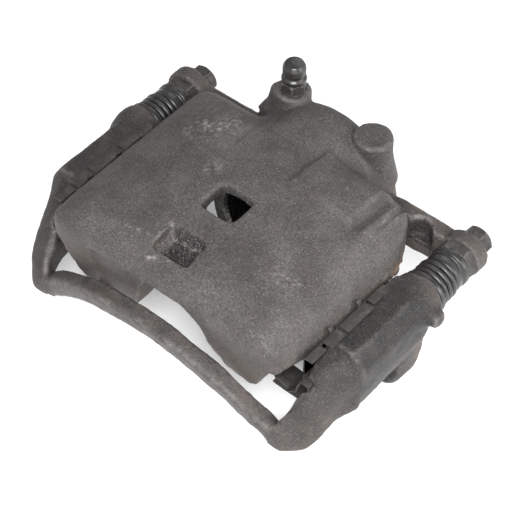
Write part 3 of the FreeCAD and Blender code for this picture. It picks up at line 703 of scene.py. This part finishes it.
def piston_boot():
    fold = rounded([
        (33.1, 4), (33.1, 3.05), (30.6, 3), (30.6, -0.4), (29.7, -1.3), (30.6, -2.2), (29.7, -3.1),
        (30.3, -4.3), (29.4, -5.7), (27.3, -5.7), (27.3, -4.1), (28.7, -4.1), (28.9, -0.6),
        (29.4, 0), (29.4, 4),
    ], 0.5, 3)
    thing = lathe("piston_boot_rubber", fold, (0, 0, CYLINDER_HIGH), around=120)
    thing = finish_piece(thing, RUBBER, "rubber_black", None, "piston_boot", angle=60)
    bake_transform(thing)
    return thing


def bleeder():
    centre = (BLEED_SIDE, BOSS_PLACE, 0)
    thread = [(0, 53), (1.4, 53), (3.4, 56.5), (4.2, 57)]
    for ridge in range(9):
        thread += [(4.88, 57.4 + ridge), (4.3, 57.9 + ridge)]
    thread += [(4.7, 66.6), (4.9, 67.6)]
    thread += [(3.1, 71.4), (3.1, 74.5), (3.9, 76.4), (3.1, 79.9), (0, 79.9)]
    screw = lathe("bleeder_steel", thread, centre, "Z", around=64)
    flats = rounded([(0, 67.5), (5.2, 67.5), (5.9, 68.2), (5.9, 71.2), (5.1, 72), (0, 72)], 0.2, 2)
    join(screw, lathe("bleeder_flats", flats, centre, "Z", hexagon=5.8))
    paint_points(screw, "wear_and_highlight", edge_wear(screw, gain=5.0))
    return finish_piece(screw, BOLT_STEEL, "bolt_steel", "bleeder", "bleeder_screw", angle=35)


def bleeder_cap():
    centre = (BLEED_SIDE, BOSS_PLACE, 0)
    profile = rounded([
        (4.2, 72.6), (5.5, 72.6), (5.5, 74.4), (4.5, 75.3), (4.4, 76.4), (5.1, 77), (5.1, 80),
        (4, 82.1), (1.5, 82.6), (0, 82.6), (0, 80.3), (4.2, 80.3),
    ], 0.5, 3)
    cap = lathe("bleeder_cap_rubber", profile, centre, "Z", around=64)
    return finish_piece(cap, RUBBER, "rubber_black", "cap", "bleeder_cap", angle=50)


def extruded(name, outline, start, end):
    """An (x, z) outline drawn out along Y."""
    count = len(outline)
    points = [(x, y, z) for y in (start, end) for x, z in outline]
    faces = [(k, (k + 1) % count, count + (k + 1) % count, count + k) for k in range(count)]
    return add_piece(name, points, faces + [tuple(range(count)), tuple(range(count, 2 * count))])


def bent(path, thick):
    """The outline of a sheet bent along an (x, z) path; the path is its inner face."""
    path = [Vector(point) for point in path]
    outer = []
    for k, point in enumerate(path):
        before = (point - path[k - 1]).normalized() if k else (path[1] - point).normalized()
        after = (path[k + 1] - point).normalized() if k + 1 < len(path) else before
        turn = (before + after).normalized()
        across = Vector((turn.y, -turn.x))
        outer.append(point + across * thick / max(0.5, turn.dot(before)))
    return [*path, *reversed(outer)]


def pad_retainer(side, name):
    """Sheet liner of a pad slot: a strip with lips and spring tabs, and a channel at each end.

    Each strip is an (x, z) path of the sheet, and where it starts and ends along Y.
    """
    strips = []
    lips = ((-64, -55, 4.4), (-53, -44, 5.6), (-42.5, -26, 5.6), (-24.5, -14, 4.4))
    for start, end, reach in lips:
        lip = [(LINER_FACE, 38.5), (LINER_FACE, 48.3), (64.8, 49.1), (LINER_FACE + reach, 49.2)]
        strips.append((lip, start, end))
    strips.append(([(LINER_FACE, 36.2), (LINER_FACE, 48.4)], -64, -14))
    for start, end in ((-48, -45.5), (-30, -27.5)):
        tab = [(LINER_FACE, 44), (LINER_FACE, 48.6), (63.9, 50.4), (63.2, 51.2)]
        strips.append((tab, start, end))
    for start, end in ((-66, -54), (-21, -9)):
        channel = [(LINER_FACE, 35.9), (68.9, 35.7), (68.9, 24.4), (66, 24.3), (57, 24.3),
                   (50.8, 24.9)]
        strips.append((channel, start + 0.1, end - 0.1))
        strips.append(([(57.5, 24.4), (51, 25.4), (50.2, 27.4)], start + 1.5, start + 5))
    strips.append(([(65.3, 36), (64.4, 31), (60, 27.5)], -68, -64.5))
    parts = [extruded("strip", [(side * x, z) for x, z in bent(path, LINER_THICK)], start, end)
             for path, start, end in strips]
    liner = join(*parts)
    rim = liner.modifiers.new("soft_rim", "BEVEL")
    rim.width = 0.18 * MM
    rim.segments = 2
    liner = applied(liner)
    liner.name = name + "_sheet"
    return finish_piece(liner, SHEET_STEEL, "stainless_sheet", "bracket", name, angle=40)


def keep_cad(node, material):
    """A CAD node that shows as it is, with its own finish."""
    thing = nodes[node]
    thing.data.materials.clear()
    thing.data.materials.append(material)


housing()
bracket()
for side, word in ((1, "right"), (-1, "left")):
    guide_pin(side, "guide_pin_" + word)
    guide_bolt(side, "guide_bolt_" + word)
    guide_boot(side, "guide_boot_" + word)
    pad_retainer(side, "pad_retainer_" + word)
piston()
piston_boot()
bleeder()
bleeder_cap()
keep_cad("piston_seal", SEAL_RUBBER)
keep_cad("boot_retaining_ring", SHEET_STEEL)
keep_cad("pin_bushing", RUBBER)


# ---------------------------------------------------------------- floor, light and camera
# name, place, power in watts and size of each square light, and where they all point
LIGHTS = (
    ("key", (350, -480, 620), 15.5, 350),
    ("fill", (800, 250, 350), 6.0, 400),
    ("back", (-200, 700, 600), 2.0, 500),
)
LIT_POINT = (0, -20, 30)


def studio():
    reach, lowest = 4000, -12.5
    corners = [(-reach, -reach, lowest), (reach, -reach, lowest),
               (reach, reach, lowest), (-reach, reach, lowest)]
    floor = add_piece("floor", corners, [(0, 1, 2, 3)])
    floor.data.materials.append(pale_floor("pale_floor"))
    world = bpy.data.worlds.new("studio")
    world.use_nodes = True
    sky = world.node_tree.nodes["Background"].inputs
    sky["Color"].default_value = (1, 1, 1, 1)
    sky["Strength"].default_value = 0.5
    scene.world = world
    for name, place, power, size in LIGHTS:
        lamp = bpy.data.lights.new(name, "AREA")
        lamp.energy = power
        lamp.size = size * MM
        light = bpy.data.objects.new(name, lamp)
        light.location = Vector(place) * MM
        ray = Vector(LIT_POINT) * MM - light.location
        light.rotation_euler = ray.to_track_quat("-Z", "Y").to_euler()
        scene.collection.objects.link(light)
    scene.view_settings.view_transform = "Standard"


def camera():
    azimuth, elevation, roll = (math.radians(angle) for angle in (38.7, 48.49, 1.16))
    aim, metres_away = Vector((0, -12, 14.6)) * MM, 0.87
    forward = Vector((-math.sin(azimuth) * math.cos(elevation),
                      math.cos(azimuth) * math.cos(elevation), -math.sin(elevation)))
    right = Vector((math.cos(azimuth), math.sin(azimuth), 0))
    up = right.cross(forward)
    across = right * math.cos(roll) + up * math.sin(roll)
    top = up * math.cos(roll) - right * math.sin(roll)
    eye = bpy.data.cameras.new("camera")
    eye.sensor_width = 36
    eye.lens = 140.9
    eye.clip_start = 0.01
    thing = bpy.data.objects.new("camera", eye)
    turn = Matrix((across, top, -forward)).transposed().to_4x4()
    thing.matrix_world = Matrix.Translation(aim - forward * metres_away) @ turn
    scene.collection.objects.link(thing)
    scene.camera = thing


studio()
camera()
